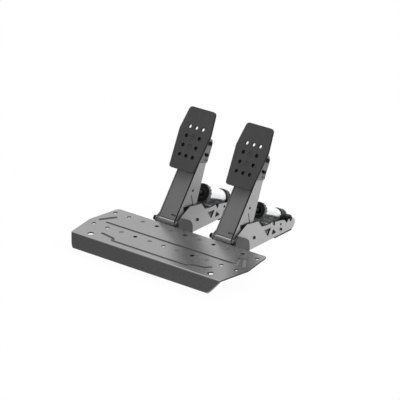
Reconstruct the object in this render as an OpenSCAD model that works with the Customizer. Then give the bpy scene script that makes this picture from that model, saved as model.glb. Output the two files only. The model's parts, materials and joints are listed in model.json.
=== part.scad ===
// Sim racing pedal set: a folded heel plate on four feet, with two pedal modules screwed under it.
// X runs across the set, Y from the heel edge to the rear and Z up from the floor.
// The origin is on the floor, in the middle of the set. Lengths are in millimetres.
// Each pedal leans back on a pivot shaft between two side plates. Its push rod slides into
// a cylinder that is hung on a rear pin, against a spring (throttle) or rubber blocks (brake).

/* [Layout] */
// Distance between the middles of the two pedal modules
module_pitch = 140; // [136:1:144]
// Width of a module over its side plates
module_w = 52; // [50:1:56]
// Thickness of the side plates and of the folded base sheet
sheet_t = 3; // [2.5:0.5:3]
// Height of the rubber feet
foot_h = 3; // [2:0.5:3]

/* [Heel plate] */
// Height of the heel plate's top face over the floor
plate_top = 34.9; // [34:0.1:36]
// Thickness of its sheet
plate_t = 2.5; // [2:0.5:3]
// Rear edge of the plate
plate_rear_y = -22.5; // [-24:0.5:-22]
// Widest place of the plate
plate_mid_y = -95; // [-100:1:-90]
// Fold at the front, where the lip starts
plate_fold_y = -163.5; // [-166:0.5:-160]
// Front edge of the lip
lip_y = -182; // [-184:0.5:-180]
// Height of the lip's lower edge
lip_z = 12; // [11:0.5:14]
// Half width at the rear edge
plate_rear_hw = 183.6; // [180:0.1:186]
// Half width at the widest place
plate_mid_hw = 195; // [190:1:198]
// Half width at the fold
plate_fold_hw = 182.7; // [180:0.1:186]
// Half width at the lip's lower edge
lip_hw = 166.5; // [160:0.5:170]
// Spacing of the hole pattern across the plate
hole_pitch = 35; // [34:1:36]
// Rear row of holes
row_rear_y = -42; // [-44:1:-40]
// Middle row of holes
row_mid_y = -106.5; // [-110:0.5:-104]
// Radius of the open pattern holes
pattern_r = 4; // [3:0.5:4.5]
// Radius of the two holes that bolt the plate to a rig
rig_hole_r = 6.15; // [5:0.05:7]
// Distance of the rig holes from the middle
rig_hole_x = 147; // [140:1:150]
// Row of the rig holes
rig_hole_y = -148; // [-150:1:-146]
// Radius of the lip's lower corners
lip_corner_r = 20; // [10:1:24]
// Depth of the pressed lines
groove_d = 0.6; // [0.3:0.1:0.8]
// Width of the pressed lines
groove_w = 5.4; // [3:0.1:6]

/* [Pivot and arm] */
// Place of the pedal pivot behind the set's middle
pivot_y = -8.25; // [-8.5:0.05:-8]
// Height of the pedal pivot
pivot_z = 33.8; // [33.5:0.1:34]
// Radius of the pivot shaft
shaft_r = 4; // [3:0.5:4.5]
// Lean of the arm from the vertical
arm_lean = 37.1; // [36.5:0.1:38]
// Width of the arm over its flanges
arm_w = 44; // [43:0.5:45]
// Thickness of the arm's sheet
arm_t = 3; // [2:0.5:3]
// Radius of the arm's ears about the pivot
ear_r = 7.2; // [6.8:0.1:7.4]
// Running clearance of the shafts and pins
fit = 0.05; // [0.02:0.01:0.08]

/* [Pad] */
// Place of the pad's middle behind the set's middle
pad_y = 64.05; // [63:0.05:65]
// Height of the pad's middle
pad_z = 177.5; // [176:0.1:179]
// Lean of the pad from the vertical
pad_tilt = 33.5; // [33:0.1:34]
// Thickness of the pad
pad_t = 4.5; // [3.5:0.5:5]
// Radius of the pad's holes
pad_hole_r = 3.6; // [3:0.1:4.5]
// Distance of the pad's hole columns
pad_col = 16; // [15:0.5:17]
// Distance of the pad's hole rows
pad_row = 19.4; // [19:0.1:20]

/* [Cylinder] */
// Place of the push rod's pin in the arm
rod_pin_y = 41.95; // [41.5:0.05:42.5]
// Height of the push rod's pin
rod_pin_z = 88; // [87.5:0.1:88.5]
// Place of the rear pin
rear_pin_y = 168.45; // [168:0.05:169]
// Height of the rear pin
rear_pin_z = 23.5; // [23:0.1:24]
// Radius of the rear pin
rear_pin_r = 3.5; // [3:0.5:3.5]
// Radius of the push rod
rod_r = 4; // [3.5:0.5:4]
// Outer radius of the brake's cylinder tube
brake_tube_r = 16.2; // [15.8:0.1:16.6]
// Outer radius of the throttle's cylinder tube
throttle_tube_r = 12.9; // [12.5:0.1:13.3]
// Wall of both tubes
tube_wall = 2; // [1.5:0.5:2]
// Outer radius of the brake's preload collar
brake_collar_r = 18.9; // [18.5:0.1:19.5]
// Outer radius of the throttle's preload collar
throttle_collar_r = 16.5; // [15.5:0.1:17.5]
// Grip scallops round a collar
collar_scallops = 16; // [12:1:20]
// Coils of the throttle spring
spring_coils = 8; // [6:1:9]

/* [Signal socket] */
// Length of the socket in front of the sensor's cover
socket_len = 12; // [11:0.5:13]

/* [Hidden] */
$fn = 48;

brake_x = -module_pitch / 2;
throttle_x = module_pitch / 2;
half_w = module_w / 2;
inner_w = half_w - sheet_t;
arm_hw = arm_w / 2;

// How far the arm's web lies behind the flanges' front edges.
web_inset = 0.5;
web_back = web_inset + arm_t - ear_r;
plate_under = plate_top - plate_t;

// The side plates' and covers' front edge rounds the pivot and then climbs at this angle.
nose_r = 7.5;
nose_climb = 26.5;
nose_y = pivot_y - nose_r;
nose_z = pivot_z + nose_r * tan((90 - nose_climb) / 2);

// The cylinder's axis runs from the rod pin down to the rear pin.
drop = atan2(rod_pin_z - rear_pin_z, rear_pin_y - rod_pin_y);

// Places along the cylinder, from the rod pin.
collar_at = 61;
collar_len = 9;
tube_at = collar_at + 2;
gland_len = 7;
seat_at = 72;
seat_len = 6;
cap_at = 130;
cap_end = 149;

// Radius of each rear cap, and where it starts to narrow towards its end.
brake_cap = [18.5, 138];
throttle_cap = [14.7, 143];

// Screws of the modules under the heel plate, as multiples of the pattern's spacing.
screw_columns = [-3, -1, 1, 3];
open_columns = [-5, -4, -2, 0, 2, 4, 5];
rows_y = [row_rear_y, row_mid_y];
screw_r = 2.5;
screw_head_r = 4.4;
screw_head_h = 2.3;
head_gap = 0.06;
head_sunk = 0.2;

// Legs welded under the heel plate.
leg_places = [[127, -62], [118, -128]];
leg_r = 8;

// Bolt holes through a module's floor.
floor_bolt_r = 3.3;
floor_bolt_dx = 26;
floor_bolt_dy = 80;
floor_bolt_y = 67;

// Rubber feet of a module: where each starts and ends.
front_foot = [-15.75, 14];
rear_foot = [118, 172];

// Cross ties between the side plates, each with the radius of its screws' heads.
tie_places = [[50.75, 24.9, 3.2], [136, 13.6, 2.7]];
tie_r = 3.5;
tie_screw_r = 2.2;

// Sensor board in the cover, and the socket that its tongue reaches into, across from the module's middle.
board_u = half_w + 4.3;
board_t = 1;
board_low = 16;
tongue_w = 4.2;
contact_t = 0.2;
socket_u = half_w - 1.6;

// Screws of the pad bracket on the arm's flanges, in the pad's frame.
lug_at = [10.4, -26.8];
slot_screw_at = [-12.8, -29.2];
grub_screws_at = [[-22.9, -30.3], [-21.7, -37]];
grub_r = 1.6;
bracket_t = 2.5;
bracket_gap = 0.2;
bracket_in = arm_hw + bracket_gap;
bracket_out = bracket_in + bracket_t;
bracket_face = 3;
pad_head_sunk = 0.4;

function unit(v) = v / norm(v);
function turn_of(a, b) = atan2(a.x * b.y - a.y * b.x, a * b);
function xy(p) = [p[0], p[1]];

// Points of one rounded corner at b, between a and c.
function corner(a, b, c, r) = r == 0 ? [b] :
    let (
        u = unit(a - b),
        v = unit(c - b),
        half = acos(u * v) / 2,
        middle = b + unit(u + v) * r / sin(half),
        from = b + u * r / tan(half) - middle,
        to = b + v * r / tan(half) - middle,
        start = atan2(from.y, from.x),
        turn = turn_of(from, to),
        n = max(2, ceil(abs(turn) / 15))
    )
    [for (k = [0:n]) middle + r * [cos(start + turn * k / n), sin(start + turn * k / n)]];

// Closed outline through corners that are given as [x, y, corner radius].
function rounded(p) =
    let (n = len(p))
    [for (i = [0:n - 1]) each corner(xy(p[(i + n - 1) % n]), xy(p[i]), xy(p[(i + 1) % n]), p[i][2])];

// Outline that is the same on both sides of the middle, from its right half.
function mirrored(p) =
    rounded([for (q = p) q, for (i = [len(p) - 1:-1:0]) [-p[i][0], p[i][1], p[i][2]]]);

// Extrudes a side view, drawn in Y and Z, across the set.
module across(x, t) {
    translate([x, 0, 0]) rotate([90, 0, 90]) linear_extrude(t) children();
}

// Round bar across the set.
module bar(x, p, r, l) {
    translate([x, p[0], p[1]]) rotate([0, 90, 0]) cylinder(r = r, h = l);
}

// Upright round bar.
module post(x, y, z, r, h) {
    translate([x, y, z]) cylinder(r = r, h = h);
}

// Frame of the arm: Y points out of its back and Z up along it, from the pivot.
module arm_frame() {
    translate([0, pivot_y, pivot_z]) rotate([-arm_lean, 0, 0]) children();
}

// Frame of the pad: Y points up the pad and Z out of its face.
module pad_frame() {
    translate([0, pad_y, pad_z]) rotate([90 - pad_tilt, 0, 0]) children();
}

// Frame of the cylinder: Z points along it from the rod pin to the rear pin.
module cylinder_frame() {
    translate([0, rod_pin_y, rod_pin_z]) rotate([-90 - drop, 0, 0]) children();
}

// Ring from one place to another along the local Z axis.
module ring(z0, z1, r_out, r_in) {
    translate([0, 0, z0])
        difference() {
            cylinder(r = r_out, h = z1 - z0);
            translate([0, 0, -1]) cylinder(r = r_in, h = z1 - z0 + 2);
        }
}

// Cone of a countersunk head with its rim at the local Z = 0. The hole for it is wider and runs on.
module sunk_cone(gap, run) {
    slope = (screw_head_r - screw_r) / screw_head_h;
    translate([0, 0, -screw_head_h - run])
        cylinder(r1 = screw_r + gap - slope * run, r2 = screw_head_r + gap + slope * run,
            h = screw_head_h + 2 * run);
}

// Sideways step from point i of a path to its edge, mitred where the path turns.
function edge_step(p, i) =
    let (
        last = len(p) - 1,
        before = unit(i == 0 ? p[1] - p[0] : p[i] - p[i - 1]),
        after = unit(i == last ? p[last] - p[last - 1] : p[i + 1] - p[i]),
        n1 = [-before.y, before.x],
        n2 = [-after.y, after.x]
    )
    (n1 + n2) / (1 + n1 * n2);

// Strip of width w along a path.
module strip(p, w) {
    polygon([
        for (i = [0:len(p) - 1]) p[i] + edge_step(p, i) * w / 2,
        for (i = [len(p) - 1:-1:0]) p[i] - edge_step(p, i) * w / 2
    ]);
}

// Lines pressed into the heel plate, drawn from above.
module pressed_lines() {
    strip([[-159, -88], [162, -87], [148, -61]], groove_w);
    for (s = [-1, 1]) strip([[s * 178, -87], [s * 158, -57]], groove_w + 2.4);
    strip([[-132, -133], [-98, -139], [-91, -148.5], [90, -148.5], [95, -141], [123, -134.5], [132, -124.5]],
        groove_w);
}

// Heel plate: one sheet with a sloping lip along its front.
module heel_plate() {
    slope = unit([lip_y - plate_fold_y, lip_z - plate_top]);
    inward = [-slope.y, slope.x] * plate_t;
    inner_fold = plate_fold_y + inward.x + slope.x / slope.y * (plate_under - plate_top - inward.y);
    color([0.45, 0.46, 0.47])
        difference() {
            intersection() {
                across(-plate_mid_hw - 1, 2 * plate_mid_hw + 2)
                    polygon(rounded([
                        [plate_rear_y, plate_top, 0.6],
                        [plate_fold_y, plate_top, 5],
                        [lip_y, lip_z, 0.6],
                        [lip_y + inward.x, lip_z + inward.y, 0.6],
                        [inner_fold, plate_under, 2.5],
                        [plate_rear_y, plate_under, 0.6]
                    ]));
                linear_extrude(plate_top + 1)
                    polygon(mirrored([
                        [lip_hw, lip_y, lip_corner_r],
                        [plate_fold_hw, plate_fold_y, 10],
                        [plate_mid_hw, plate_mid_y, 14],
                        [plate_rear_hw, plate_rear_y, 8]
                    ]));
            }
            for (k = open_columns, y = rows_y)
                post(k * hole_pitch, y, plate_under - 1, pattern_r, plate_t + 2);
            for (k = screw_columns, y = rows_y)
                translate([k * hole_pitch, y, plate_top - head_sunk]) sunk_cone(head_gap, 1);
            for (s = [-1, 1]) post(s * rig_hole_x, rig_hole_y, plate_under - 1, rig_hole_r, plate_t + 2);
            translate([0, 0, plate_top - groove_d]) linear_extrude(groove_d + 1) pressed_lines();
        }
}

module heel_plate_legs() {
    color([0.2, 0.2, 0.21])
        for (s = [-1, 1], p = leg_places)
            difference() {
                post(s * p.x, p.y, foot_h, leg_r, plate_under - foot_h);
                post(s * p.x, p.y, foot_h - 1, screw_r, 13);
            }
}

module heel_plate_feet() {
    color([0.1, 0.1, 0.1])
        for (s = [-1, 1], p = leg_places) {
            post(s * p.x, p.y, 0, leg_r + 2, foot_h);
            post(s * p.x, p.y, foot_h, screw_r, 10);
        }
}

// Countersunk screws that hold the modules under the heel plate.
module plate_screws() {
    shank_end = 21;
    color([0.5, 0.5, 0.5])
        for (k = screw_columns, y = rows_y)
            difference() {
                union() {
                    translate([k * hole_pitch, y, plate_top - head_sunk]) sunk_cone(0, 0);
                    post(k * hole_pitch, y, shank_end, screw_r,
                        plate_top - head_sunk - screw_head_h - shank_end);
                }
                translate([k * hole_pitch, y, plate_top - 1.6]) cylinder(r = 1.7, h = 3, $fn = 6);
            }
}

module plate_nuts() {
    color([0.6, 0.6, 0.6])
        for (k = screw_columns, y = rows_y)
            translate([k * hole_pitch, y, plate_under - sheet_t - 4])
                difference() {
                    cylinder(r = 4.6, h = 4, $fn = 6);
                    translate([0, 0, -1]) cylinder(r = screw_r, h = 6);
                }
}

// Side plate of a module, seen from the side.
module side_outline() {
    difference() {
        polygon(rounded([
            [nose_y, foot_h, 2],
            [nose_y, nose_z, nose_r],
            [28.5, 60.5, 2],
            [46.75, 56.7, 4],
            [64.4, 54.7, 3],
            [67.3, 50.2, 2],
            [74.75, 39.9, 3],
            [89.65, 37.6, 4],
            [102.45, 37, 2],
            [107.25, 38.8, 1.2],
            [114.75, 26.7, 0.8],
            [117.85, 35.2, 1],
            [132.95, 32.9, 4],
            [148.5, 29.1, 2],
            [155, 20.6, 2],
            [160.3, 26, 1],
            [173.65, 26.6, 2],
            [180.35, 20.6, 3],
            [182, 15, 3],
            [179.65, 8, 3],
            [174.25, foot_h, 2]
        ]));
        translate([rear_pin_y, rear_pin_z]) circle(r = rear_pin_r + fit);
        translate([rear_pin_y - rear_pin_r - fit, rear_pin_z]) square([2 * (rear_pin_r + fit), 10]);
        polygon(rounded([[82.6, 28.8, 1], [104.8, 27.4, 1], [94, 12.9, 1]]));
        polygon(rounded([[111.2, 22, 0.6], [120.8, 12.2, 0.6], [106.4, 11.6, 0.6]]));
        for (p = tie_places) translate(xy(p)) circle(r = tie_screw_r);
        translate([136, 24.2]) circle(r = 2.4);
        translate([pivot_y, pivot_z]) circle(r = 5.5);
    }
}

module side_plate(x) {
    color([0.66, 0.67, 0.68]) across(x, sheet_t) side_outline();
}

// Floor sheet of a module: it rises in front of the side plates and runs on under the heel plate.
module base_plate(x) {
    tongue_under = plate_under - sheet_t;
    riser_y = nose_y - 2;
    color([0.6, 0.61, 0.62])
        difference() {
            union() {
                across(x - inner_w, 2 * inner_w)
                    polygon(rounded([
                        [176, foot_h, 0],
                        [riser_y - sheet_t, foot_h, 4],
                        [riser_y - sheet_t, tongue_under, 1],
                        [row_mid_y - 9, tongue_under, 0],
                        [row_mid_y - 9, plate_under, 0],
                        [riser_y, plate_under, 4],
                        [riser_y, foot_h + sheet_t, 1],
                        [176, foot_h + sheet_t, 0]
                    ]));
                translate([x, 0, tongue_under])
                    linear_extrude(sheet_t)
                        polygon(mirrored([[43, row_mid_y - 9, 5], [43, row_rear_y + 12, 5]]));
            }
            for (s = [-1, 1], y = rows_y) post(x + s * hole_pitch, y, tongue_under - 1, screw_r + 0.2, 5);
            for (y = rows_y) post(x, y, tongue_under - 1, pattern_r + 1, 5);
            for (s = [-1, 1], d = [-1, 1])
                post(x + s * floor_bolt_dx / 2, floor_bolt_y + d * floor_bolt_dy / 2, foot_h - 1,
                    floor_bolt_r, 5);
        }
}

module module_feet(x) {
    color([0.1, 0.1, 0.1])
        for (f = [front_foot, rear_foot])
            translate([x - half_w, f[0], 0]) cube([module_w, f[1] - f[0], foot_h]);
}

module cross_ties(x) {
    color([0.25, 0.25, 0.26])
        for (p = tie_places) {
            bar(x - inner_w, p, tie_r, 2 * inner_w);
            bar(x - half_w - 1.5, p, tie_screw_r, module_w + 3);
            for (s = [-1, 1]) bar(x + s * (half_w + 0.9) - 0.9, p, p[2], 1.8);
        }
}

module pivot_bushes(x) {
    pivot = [pivot_y, pivot_z];
    color([0.55, 0.5, 0.38])
        difference() {
            union() {
                bar(x - half_w - 1.7, pivot, 5.5, sheet_t + 1.7);
                bar(x + inner_w, pivot, 5.5, sheet_t);
                for (s = [-1, 1]) bar(x + s * (inner_w - 0.35) - 0.35, pivot, 6.8, 0.7);
            }
            bar(x - half_w - 3, pivot, shaft_r + fit, module_w + 6);
        }
}

module pivot_shaft(x) {
    pivot = [pivot_y, pivot_z];
    color([0.15, 0.15, 0.16])
        difference() {
            union() {
                bar(x - half_w - 2, pivot, shaft_r, module_w + 4.2);
                bar(x - half_w - 7, pivot, 5.2, 5);
            }
            bar(x - half_w - 8, pivot, 2.2, 3);
        }
}

module magnet(x) {
    color([0.75, 0.75, 0.76]) bar(x + half_w + 2.2, [pivot_y, pivot_z], 4, 1.2);
}

module pivot_sleeve(x) {
    color([0.55, 0.56, 0.57])
        difference() {
            bar(x - arm_hw + arm_t, [pivot_y, pivot_z], ear_r, arm_w - 2 * arm_t);
            bar(x - arm_hw, [pivot_y, pivot_z], shaft_r, arm_w);
        }
}

// Side view of the moulded cover over the angle sensor, drawn in from its edge by w.
module cover_outline(w) {
    climb_top = [-1.6, 45.5];
    polygon(rounded([
        [nose_y + w, foot_h + 1 + w, 3],
        [nose_y + w, nose_z - w * tan((90 - nose_climb) / 2), nose_r - w],
        [climb_top.x, climb_top.y - w * 1.1, 1],
        [28.4 - w, 31.2 - w * 1.3, 18 - w],
        [28.4 - w, foot_h + 1 + w, 3]
    ]));
}

module sensor_cover(x) {
    wall = 1.5;
    color([0.12, 0.12, 0.13])
        difference() {
            across(x + half_w, 7) cover_outline(0);
            across(x + half_w - 1, 7 - wall + 1) cover_outline(wall);
            for (p = [[-9, 10.5], [21, 10.5]]) bar(x + half_w, p, 1.3, 9);
            board_slot(x);
        }
    color([0.12, 0.12, 0.13])
        for (p = [[-9, 10.5], [21, 10.5]])
            difference() {
                bar(x + half_w, p, 3, 7 - wall);
                bar(x + half_w - 1, p, 1.3, 9);
            }
}

// Slot in the front wall of the cover and the back of the socket, for the board's tongue.
module board_slot(x) {
    translate([x + board_u - 0.15, nose_y - 3, board_low - 0.2]) cube([board_t + 0.3, 6, tongue_w + 0.4]);
}

// Circuit board of the angle sensor. Its tongue reaches into the socket and carries the contacts.
module sensor_board(x) {
    tongue_end = nose_y - socket_len + 2;
    color([0.1, 0.4, 0.2])
        across(x + board_u, board_t) {
            polygon(rounded([
                [-12, board_low, 2],
                [-12, 36, 3],
                [-3, 40.5, 2],
                [16, 30, 2],
                [16, board_low, 2]
            ]));
            translate([tongue_end, board_low]) square([-8 - tongue_end, tongue_w]);
        }
    color([0.1, 0.1, 0.1]) across(x + board_u - 0.6, 0.6) translate([pivot_y - 3, pivot_z - 3]) square(6);
    color([0.8, 0.7, 0.3])
        for (k = [0:3])
            across(x + board_u - contact_t, contact_t)
                translate([tongue_end, board_low + 0.4 + k]) square([socket_len - 5, 0.5]);
}

// Socket for the plug of the lead to the computer, on the front of the cover and open to the front.
module signal_socket(x) {
    width = 8.2;
    height = 10.2;
    wall = 1.1;
    color([0.1, 0.1, 0.1])
        difference() {
            translate([x + socket_u, nose_y - socket_len, 13]) cube([width, socket_len, height]);
            translate([x + socket_u + wall, nose_y - socket_len - 1, 13 + wall])
                cube([width - 2 * wall, socket_len - 1, height - 2 * wall]);
            board_slot(x);
        }
}

// The arm's flange, seen from the side in the arm's frame: back from the pivot, and up.
module flange_outline() {
    front = -ear_r;
    difference() {
        union() {
            polygon(rounded([
                [front, 0, 0],
                [front, 154, 25],
                [-13, 168, 8],
                [-12, 181, 9],
                [8, 180, 9],
                [14.6, 128.5, 40],
                [35, 55.6, 3],
                [33.7, 45.8, 2],
                [20, 27, 6],
                [ear_r, 0, 0]
            ]));
            circle(r = ear_r);
        }
        polygon(rounded([
            [-3.3, 37.9, 1],
            [1.5, 36, 1],
            [9.4, 40.2, 5],
            [24, 50.5, 1],
            [28.5, 43, 1],
            [12.7, 30, 2],
            [3.5, 30, 2]
        ]));
        polygon([[25, 48.3], [26.4, 49], [9.9, 63.8], [8.9, 63.1]]);
        circle(r = shaft_r);
        translate(rod_pin_in_arm) circle(r = 2.5);
        translate(lug_in_arm) circle(r = screw_r);
        translate(slot_screw_in_arm) circle(r = screw_r);
    }
}

// Where a place of the side view lies in the arm's frame.
function in_arm(p) =
    let (d = p - [pivot_y, pivot_z])
    [d.x * cos(arm_lean) - d.y * sin(arm_lean), d.x * sin(arm_lean) + d.y * cos(arm_lean)];

// Where a place in the pad's frame lies in the side view.
function from_pad(q) =
    [pad_y + q.x * sin(pad_tilt) - q.y * cos(pad_tilt), pad_z + q.x * cos(pad_tilt) + q.y * sin(pad_tilt)];

rod_pin_in_arm = in_arm([rod_pin_y, rod_pin_z]);
lug_in_arm = in_arm(from_pad(lug_at));
slot_screw_in_arm = in_arm(from_pad(slot_screw_at));

// Channel-shaped arm: a front web and two flanges with ears round the pivot.
module arm(x) {
    web_from = 4.8;
    web_to = 150;
    web_slot = [12.5, 13.8];
    web_slot_len = 10.5;
    web_slot_h = 2.4;
    color([0.5, 0.51, 0.52])
        translate([x, 0, 0])
            arm_frame()
                difference() {
                    union() {
                        for (s = [-1, 1])
                            across(s * (arm_hw - arm_t / 2) - arm_t / 2, arm_t) flange_outline();
                        translate([-arm_hw + arm_t / 2, web_back - arm_t, web_from])
                            cube([arm_w - arm_t, arm_t, web_to - web_from]);
                    }
                    bar(-arm_hw + arm_t, [0, 0], ear_r + fit, arm_w - 2 * arm_t);
                    translate([web_slot.x, -ear_r - 1, web_slot.y])
                        rotate([-90, 0, 0])
                            linear_extrude(arm_t + 2) square([web_slot_len, web_slot_h], center = true);
                }
}

// Rubber stop between the arm's flanges, behind their openings. It meets the front cross tie.
module stop_block(x) {
    color([0.08, 0.08, 0.08])
        translate([x, 0, 0])
            arm_frame()
                across(-arm_hw + arm_t, arm_w - 2 * arm_t)
                    polygon(rounded([
                        [web_back, 28, 0],
                        [14, 27.5, 2],
                        [30, 41, 3],
                        [30.5, 49, 2],
                        [24.5, 54, 2],
                        [8.5, 43.5, 3],
                        [web_back, 41.5, 0]
                    ]));
}

module rod_pin(x) {
    color([0.2, 0.2, 0.2]) bar(x - arm_hw, [rod_pin_y, rod_pin_z], 2.5, arm_w);
}

// U-shaped bracket between the pad and the arm's flanges, in the pad's frame.
module pad_bracket(x) {
    color([0.5, 0.51, 0.52])
        translate([x, 0, 0])
            pad_frame()
                difference() {
                    union() {
                        translate([-bracket_out, -31, -pad_t - bracket_face])
                            cube([2 * bracket_out, 49, bracket_face]);
                        for (s = [-1, 1])
                            across(s * (bracket_out - bracket_t / 2) - bracket_t / 2, bracket_t)
                                polygon(rounded([
                                    [-31, -pad_t, 0],
                                    [-31, -22.7, 4],
                                    [-26, -40, 3],
                                    [10, -36, 4],
                                    [18, -28, 5],
                                    [18, -pad_t, 0]
                                ]));
                    }
                    for (r = [-1, 1])
                        translate([0, r * pad_row / 2, -pad_t - 5]) cylinder(r = screw_r, h = 6);
                    bar(-bracket_out - 1, lug_at, screw_r, 2 * bracket_out + 2);
                    across(-bracket_out - 1, 2 * bracket_out + 2) angle_slot();
                    for (q = grub_screws_at) bar(-bracket_out - 1, q, grub_r, 2 * bracket_out + 2);
                }
}

// Curved slot about the lug screw, by which the pad's angle is set.
module angle_slot() {
    d = slot_screw_at - lug_at;
    reach = norm(d);
    at = atan2(d.y, d.x);
    sweep = 12;
    steps = 8;
    polygon([
        for (k = [0:steps]) lug_at + (reach + screw_r) * [cos(at - sweep + 2 * sweep * k / steps),
            sin(at - sweep + 2 * sweep * k / steps)],
        for (k = [0:steps]) lug_at + (reach - screw_r) * [cos(at + sweep - 2 * sweep * k / steps),
            sin(at + sweep - 2 * sweep * k / steps)]
    ]);
    for (e = [-1, 1])
        translate(lug_at + reach * [cos(at + e * sweep), sin(at + e * sweep)]) circle(r = screw_r);
}

module bracket_screws(x) {
    head_h = 2.8;
    color([0.12, 0.12, 0.12])
        translate([x, 0, 0])
            pad_frame() {
                for (s = [-1, 1], q = grub_screws_at)
                    bar(s * (bracket_in + 0.5) - 0.5, q, grub_r, 1);
                for (s = [-1, 1], p = [[lug_at.x, lug_at.y, 4.3], [slot_screw_at.x, slot_screw_at.y, 3.4]])
                    difference() {
                        union() {
                            bar(s * (bracket_out + head_h / 2) - head_h / 2, p, p[2], head_h);
                            bar(s * (bracket_out + 15.2) / 2 - (bracket_out - 15.2) / 2, p, screw_r,
                                bracket_out - 15.2);
                            bar(s * (arm_hw - arm_t - 1.6) - 1.6, p, 4, 3.2);
                        }
                        translate([s * (bracket_out + head_h), p[0], p[1]])
                            rotate([0, 90, 0]) cylinder(r = 1.7, h = 3, center = true, $fn = 6);
                    }
            }
}

module pad(x) {
    color([0.2, 0.2, 0.2])
        translate([x, 0, 0])
            pad_frame()
                difference() {
                    translate([0, 0, -pad_t])
                        linear_extrude(pad_t)
                            polygon(mirrored([[30.5, -58, 5.5], [38.5, 21, 12], [31.6, 68, 7.5]]));
                    for (r = [-1.5, -0.5, 0.5, 1.5], c = [-1, 0, 1])
                        if (c != 0 || abs(r) > 1)
                            translate([c * pad_col, r * pad_row, -pad_t - 1])
                                cylinder(r = pad_hole_r, h = pad_t + 2);
                    for (r = [-0.5, 0.5])
                        translate([0, r * pad_row, -pad_head_sunk]) {
                            translate([0, 0, -pad_t]) cylinder(r = screw_r, h = pad_t);
                            sunk_cone(head_gap, 0.5);
                        }
                }
}

module pad_screws(x) {
    color([0.1, 0.1, 0.1])
        translate([x, 0, 0])
            pad_frame()
                for (r = [-0.5, 0.5])
                    translate([0, r * pad_row, 0])
                        difference() {
                            union() {
                                translate([0, 0, -pad_head_sunk]) sunk_cone(0, 0);
                                translate([0, 0, -13])
                                    cylinder(r = screw_r, h = 13 - pad_head_sunk - screw_head_h);
                                translate([0, 0, -pad_t - bracket_face - 3.5])
                                    cylinder(r = 4.4, h = 3.5, $fn = 6);
                            }
                            translate([0, 0, -1.4]) cylinder(r = 1.7, h = 3, $fn = 6);
                        }
}

// Push rod with its eye round the rod pin, up to the piston.
module rod(x, lock_nut) {
    eye_r = 6.5;
    color([0.8, 0.8, 0.82])
        difference() {
            union() {
                translate([x, 0, 0])
                    cylinder_frame() {
                        cylinder(r = rod_r, h = seat_at + seat_len);
                        if (lock_nut) translate([0, 0, 10]) cylinder(r = 7.5, h = 5, $fn = 6);
                    }
                bar(x - 8, [rod_pin_y, rod_pin_z], eye_r, 16);
            }
            bar(x - 9, [rod_pin_y, rod_pin_z], 2.5 + fit, 18);
        }
}

module piston(x, tube_r) {
    slack = 1.7;
    color([0.6, 0.6, 0.6])
        translate([x, 0, 0])
            cylinder_frame() ring(seat_at, seat_at + seat_len, tube_r - tube_wall - slack, rod_r);
}

module cylinder_tube(x, tube_r) {
    color([0.88, 0.88, 0.9])
        translate([x, 0, 0])
            cylinder_frame() ring(tube_at, cap_at, tube_r, tube_r - tube_wall);
}

// Gland in the tube's mouth. Its bore leaves room for the rod to swing a little.
module front_gland(x, tube_r, bore_r) {
    color([0.1, 0.1, 0.1])
        translate([x, 0, 0])
            cylinder_frame() ring(tube_at + 0.3, tube_at + gland_len, tube_r - tube_wall, bore_r);
}

// Cap that closes the tube, with the barrel that turns on the rear pin.
// The cap is given as its radius and the place where it starts to narrow.
module rear_cap(x, tube_r, cap) {
    barrel_r = 8.5;
    overlap = 4;
    groove = [133.5, 135, 0.8];
    color([0.1, 0.1, 0.11])
        difference() {
            union() {
                translate([x, 0, 0])
                    cylinder_frame()
                        rotate_extrude()
                            polygon([
                                [0, cap_at],
                                [tube_r, cap_at],
                                [tube_r, cap_at - overlap],
                                [cap[0], cap_at - overlap],
                                [cap[0], groove[0]],
                                [cap[0] - groove[2], groove[0]],
                                [cap[0] - groove[2], groove[1]],
                                [cap[0], groove[1]],
                                [cap[0], cap[1]],
                                [barrel_r + 0.5, cap_end],
                                [0, cap_end]
                            ]);
                bar(x - inner_w + 1, [rear_pin_y, rear_pin_z], barrel_r, 2 * inner_w - 2);
            }
            bar(x - inner_w, [rear_pin_y, rear_pin_z], rear_pin_r + fit, 2 * inner_w);
        }
}

// Rear pin in the side plates' seats, with a clip inside each plate.
module rear_pin(x) {
    clip_r = 5;
    clip_t = 0.8;
    color([0.2, 0.2, 0.2]) {
        bar(x - half_w, [rear_pin_y, rear_pin_z], rear_pin_r, module_w);
        for (s = [-1, 1])
            bar(x + s * (inner_w - 0.5) - clip_t / 2, [rear_pin_y, rear_pin_z], clip_r, clip_t);
    }
}

// Preload collar that turns on the tube's front end.
module preload_collar(x, tube_r, collar_r) {
    groove_r = 2.6;
    color([0.08, 0.08, 0.08])
        translate([x, 0, 0])
            cylinder_frame()
                difference() {
                    translate([0, 0, collar_at]) cylinder(r = collar_r, h = collar_len);
                    translate([0, 0, collar_at - 1]) cylinder(r = 8, h = 5);
                    translate([0, 0, tube_at - 0.3]) cylinder(r = tube_r + fit, h = collar_len);
                    for (k = [0:collar_scallops - 1])
                        rotate(k * 360 / collar_scallops)
                            translate([collar_r + 1.4, 0, collar_at + 2])
                                cylinder(r = groove_r, h = collar_len, $fn = 24);
                }
}

// Rubber blocks of the brake, with steel discs between them.
module brake_elastomers() {
    from = seat_at + seat_len;
    block = (cap_at - from) / 4;
    disc_r = brake_tube_r - tube_wall - 1.5;
    color([0.5, 0.1, 0.1])
        translate([brake_x, 0, 0])
            cylinder_frame()
                for (k = [0:3]) translate([0, 0, from + k * block]) {
                    translate([0, 0, 0.05]) cylinder(r = disc_r - 1, h = block - 1.6);
                    translate([0, 0, block - 1.55]) cylinder(r = disc_r, h = 1.5);
                }
}

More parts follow.
